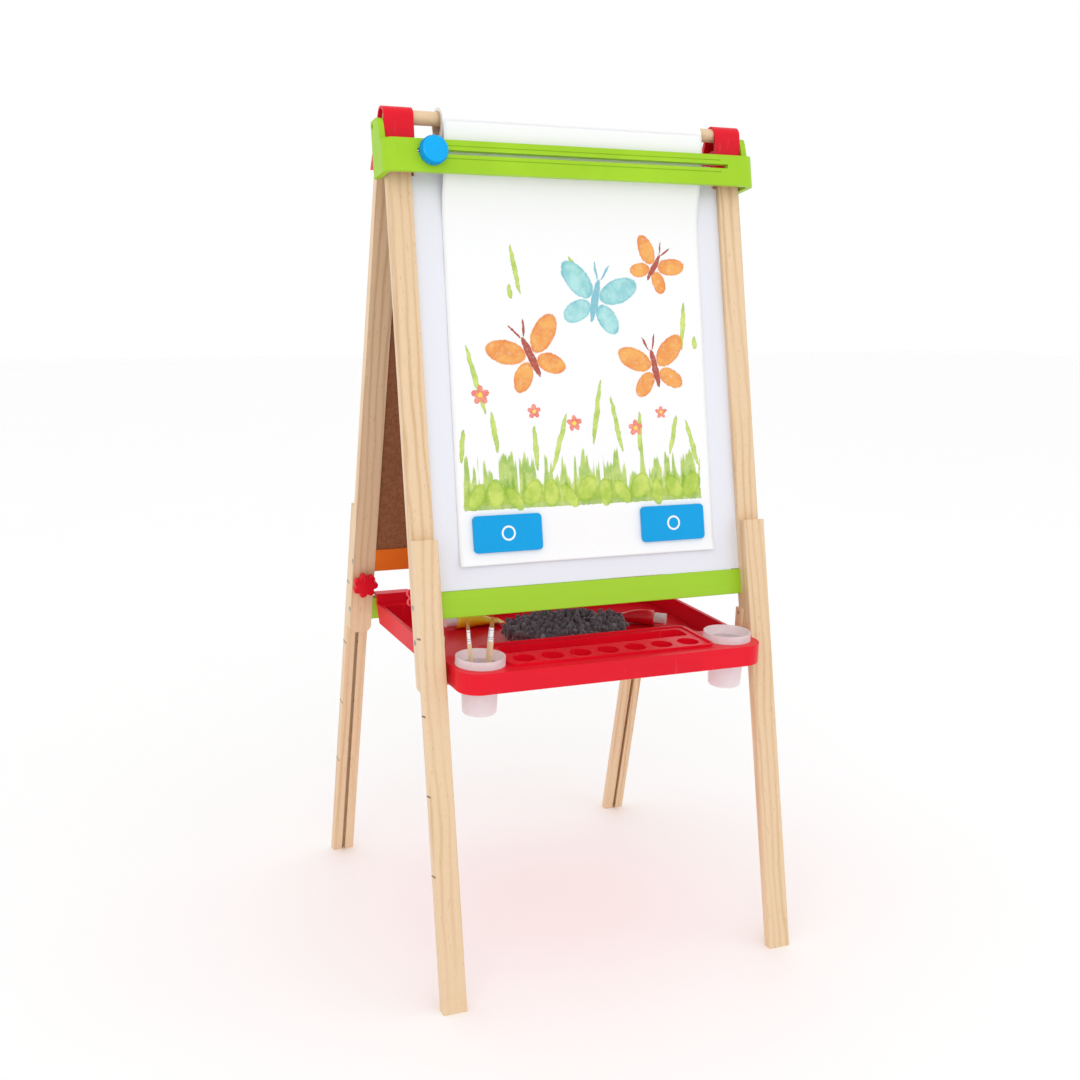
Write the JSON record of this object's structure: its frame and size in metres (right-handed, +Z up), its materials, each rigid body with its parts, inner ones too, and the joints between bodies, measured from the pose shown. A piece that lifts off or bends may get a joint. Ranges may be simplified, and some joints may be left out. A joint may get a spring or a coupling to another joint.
{
  "type": "kids easel",
  "caption": "Folding wooden easel with a whiteboard, a chalkboard, a paper roll and a tray of painting things on height-adjustable legs.",
  "frame": {"origin": "on the floor, in the middle between the feet", "axes": "+X to the right seen from the whiteboard side, +Y from the whiteboard side to the chalkboard side, +Z up"},
  "size_m": [0.467, 0.46, 0.9723],
  "materials": {
    "front_upper_leg_left": "clear satin pine",
    "front_upper_leg_right": "clear satin pine",
    "whiteboard": "white dry-wipe face",
    "front_rail": "lime green lacquer on wood",
    "front_rail_screws": "zinc plated",
    "tray_rest_screws": "zinc plated",
    "front_clamp_bolts": "zinc plated",
    "tray_rest_left": "clear satin pine",
    "tray_rest_right": "clear satin pine",
    "top_bracket_left": "red moulded",
    "top_bracket_right": "red moulded",
    "dowel": "clear satin pine",
    "hinge_pins": "zinc plated",
    "guide_pivots": "lime green moulded",
    "paper_sheet": "white drawing paper",
    "rear_upper_leg_left": "clear satin pine",
    "rear_upper_leg_right": "clear satin pine",
    "chalkboard": "matt black chalk face on hardboard",
    "rear_rail": "orange lacquer on wood",
    "support_rail": "lime green lacquer on wood",
    "rear_rail_screws": "zinc plated",
    "rear_clamp_bolts": "zinc plated",
    "front_lower_leg_left": "clear satin pine",
    "front_lower_leg_right": "clear satin pine",
    "rear_lower_leg_left": "clear satin pine",
    "rear_lower_leg_right": "clear satin pine",
    "front_star_knob_left": "red moulded",
    "front_star_knob_right": "red moulded",
    "rear_star_knob_left": "red moulded",
    "rear_star_knob_right": "red moulded",
    "paper_guide": "lime green moulded",
    "cutter_body": "blue moulded",
    "cutter_cap": "blue moulded",
    "paper_core": "kraft",
    "paper_roll": "white drawing paper",
    "magnet_left": "blue moulded",
    "magnet_right": "blue moulded",
    "tray": "red moulded",
    "palette": "red moulded",
    "cup_left": "translucent frosted",
    "cup_right": "translucent frosted",
    "brush_thin_handle": "clear satin pine",
    "brush_thin_ferrule": "bright, crimped",
    "brush_thin_bristles": "orange-brown hair",
    "brush_thick_handle": "clear satin pine",
    "brush_thick_ferrule": "bright, crimped",
    "brush_thick_bristles": "orange-brown hair",
    "tube_yellow": "yellow soft tube",
    "tube_yellow_cap": "frosted white",
    "tube_red": "red soft tube",
    "tube_red_cap": "frosted white",
    "chenille_mitt": "dark chenille loops"
  },
  "bodies": {
    "front_frame": {"front_upper_leg_left": "front_upper_leg_left", "front_upper_leg_right": "front_upper_leg_right", "whiteboard": "whiteboard", "front_rail": "front_rail", "front_rail_screws": "front_rail_screws", "tray_rest_screws": "tray_rest_screws", "front_clamp_bolts": "front_clamp_bolts", "tray_rest_left": "tray_rest_left", "tray_rest_right": "tray_rest_right", "top_bracket_left": "top_bracket_left", "top_bracket_right": "top_bracket_right", "dowel": "dowel", "hinge_pins": "hinge_pins", "guide_pivots": "guide_pivots", "paper_sheet": "paper_sheet"},
    "rear_frame": {"rear_upper_leg_left": "rear_upper_leg_left", "rear_upper_leg_right": "rear_upper_leg_right", "chalkboard": "chalkboard", "rear_rail": "rear_rail", "support_rail": "support_rail", "rear_rail_screws": "rear_rail_screws", "rear_clamp_bolts": "rear_clamp_bolts"},
    "leg_front_left": {"front_lower_leg_left": "front_lower_leg_left"},
    "leg_front_right": {"front_lower_leg_right": "front_lower_leg_right"},
    "leg_rear_left": {"rear_lower_leg_left": "rear_lower_leg_left"},
    "leg_rear_right": {"rear_lower_leg_right": "rear_lower_leg_right"},
    "knob_front_left": {"front_star_knob_left": "front_star_knob_left"},
    "knob_front_right": {"front_star_knob_right": "front_star_knob_right"},
    "knob_rear_left": {"rear_star_knob_left": "rear_star_knob_left"},
    "knob_rear_right": {"rear_star_knob_right": "rear_star_knob_right"},
    "guide": {"paper_guide": "paper_guide"},
    "cutter": {"cutter_body": "cutter_body", "cutter_cap": "cutter_cap"},
    "roll": {"paper_core": "paper_core", "paper_roll": "paper_roll"},
    "magnet_a": {"magnet_left": "magnet_left"},
    "magnet_b": {"magnet_right": "magnet_right"},
    "tray": {"tray": "tray"},
    "palette": {"palette": "palette"},
    "cup_a": {"cup_left": "cup_left"},
    "cup_b": {"cup_right": "cup_right"},
    "brush_a": {"brush_thin_handle": "brush_thin_handle", "brush_thin_ferrule": "brush_thin_ferrule", "brush_thin_bristles": "brush_thin_bristles"},
    "brush_b": {"brush_thick_handle": "brush_thick_handle", "brush_thick_ferrule": "brush_thick_ferrule", "brush_thick_bristles": "brush_thick_bristles"},
    "tube_a": {"tube_yellow": "tube_yellow", "tube_yellow_cap": "tube_yellow_cap"},
    "tube_b": {"tube_red": "tube_red", "tube_red_cap": "tube_red_cap"},
    "mitt": {"chenille_mitt": "chenille_mitt"}
  },
  "joints": [
    {"name": "rear_frame_fold", "type": "hinge", "parent": "front_frame", "child": "rear_frame", "pos_m": [0, 0.03755, 0.91751], "axis": [-1, 0, 0], "range_deg": [0, 14]},
    {"name": "tray_slide", "type": "slide", "parent": "front_frame", "child": "tray", "axis": [0, -1, 0], "range_m": [0, 0.137]},
    {"name": "paper_guide_lift", "type": "hinge", "parent": "front_frame", "child": "guide", "pos_m": [0, 0.02015, 0.94785], "axis": [-1, 0, 0], "range_deg": [0, 75]},
    {"name": "cutter_slide", "type": "slide", "parent": "guide", "child": "cutter", "axis": [1, 0, 0], "range_m": [0, 0.358]},
    {"name": "paper_roll_spin", "type": "hinge", "parent": "front_frame", "child": "roll", "pos_m": [0, 0.01302, 0.95429], "axis": [1, 0, 0], "continuous": true},
    {"name": "front_left_leg_length", "type": "slide", "parent": "front_frame", "child": "leg_front_left", "axis": [0, -0.2284, -0.9736], "range_m": [-0.1, 0.048]},
    {"name": "front_right_leg_length", "type": "slide", "parent": "front_frame", "child": "leg_front_right", "axis": [0, -0.2284, -0.9736], "range_m": [-0.1, 0.048]},
    {"name": "rear_left_leg_length", "type": "slide", "parent": "rear_frame", "child": "leg_rear_left", "axis": [0, 0.1857, -0.9826], "range_m": [-0.1, 0.048]},
    {"name": "rear_right_leg_length", "type": "slide", "parent": "rear_frame", "child": "leg_rear_right", "axis": [0, 0.1857, -0.9826], "range_m": [-0.1, 0.048]},
    {"name": "front_left_knob_turn", "type": "hinge", "parent": "front_frame", "child": "knob_front_left", "pos_m": [-0.21, -0.101, 0.44051], "axis": [0, -0.9736, 0.2284], "continuous": true},
    {"name": "front_right_knob_turn", "type": "hinge", "parent": "front_frame", "child": "knob_front_right", "pos_m": [0.21, -0.101, 0.44051], "axis": [0, -0.9736, 0.2284], "continuous": true},
    {"name": "rear_left_knob_turn", "type": "hinge", "parent": "rear_frame", "child": "knob_rear_left", "pos_m": [-0.2085, 0.12889, 0.40048], "axis": [0, -0.9826, -0.1857], "continuous": true},
    {"name": "rear_right_knob_turn", "type": "hinge", "parent": "rear_frame", "child": "knob_rear_right", "pos_m": [0.2085, 0.12889, 0.40048], "axis": [0, -0.9826, -0.1857], "continuous": true},
    {"name": "magnet_a_pull", "type": "slide", "parent": "front_frame", "child": "magnet_a", "axis": [0, -0.9736, 0.2284], "range_m": [0, 0.06]},
    {"name": "magnet_b_pull", "type": "slide", "parent": "front_frame", "child": "magnet_b", "axis": [0, -0.9736, 0.2284], "range_m": [0, 0.06]},
    {"name": "palette_lift", "type": "slide", "parent": "tray", "child": "palette", "axis": [0, 0, 1], "range_m": [0, 0.03]},
    {"name": "cup_a_lift", "type": "slide", "parent": "tray", "child": "cup_a", "axis": [0, 0, 1], "range_m": [0, 0.08]},
    {"name": "cup_b_lift", "type": "slide", "parent": "tray", "child": "cup_b", "axis": [0, 0, 1], "range_m": [0, 0.08]},
    {"name": "brush_a_draw", "type": "slide", "parent": "cup_a", "child": "brush_a", "axis": [-0.115, -0.0184, 0.9932], "range_m": [0, 0.1]},
    {"name": "brush_b_draw", "type": "slide", "parent": "cup_a", "child": "brush_b", "axis": [0.0782, 0.0279, 0.9965], "range_m": [0, 0.1]},
    {"name": "tube_a_lift", "type": "slide", "parent": "tray", "child": "tube_a", "axis": [0, 0, 1], "range_m": [0, 0.03]},
    {"name": "tube_b_lift", "type": "slide", "parent": "tray", "child": "tube_b", "axis": [0, 0, 1], "range_m": [0, 0.03]},
    {"name": "mitt_lift", "type": "slide", "parent": "tray", "child": "mitt", "axis": [0, 0, 1], "range_m": [0, 0.02]}
  ],
  "couplings": [
    {"joint": "tray_slide", "follows": "rear_frame_fold", "m_per_rad": 0.558}
  ]
}
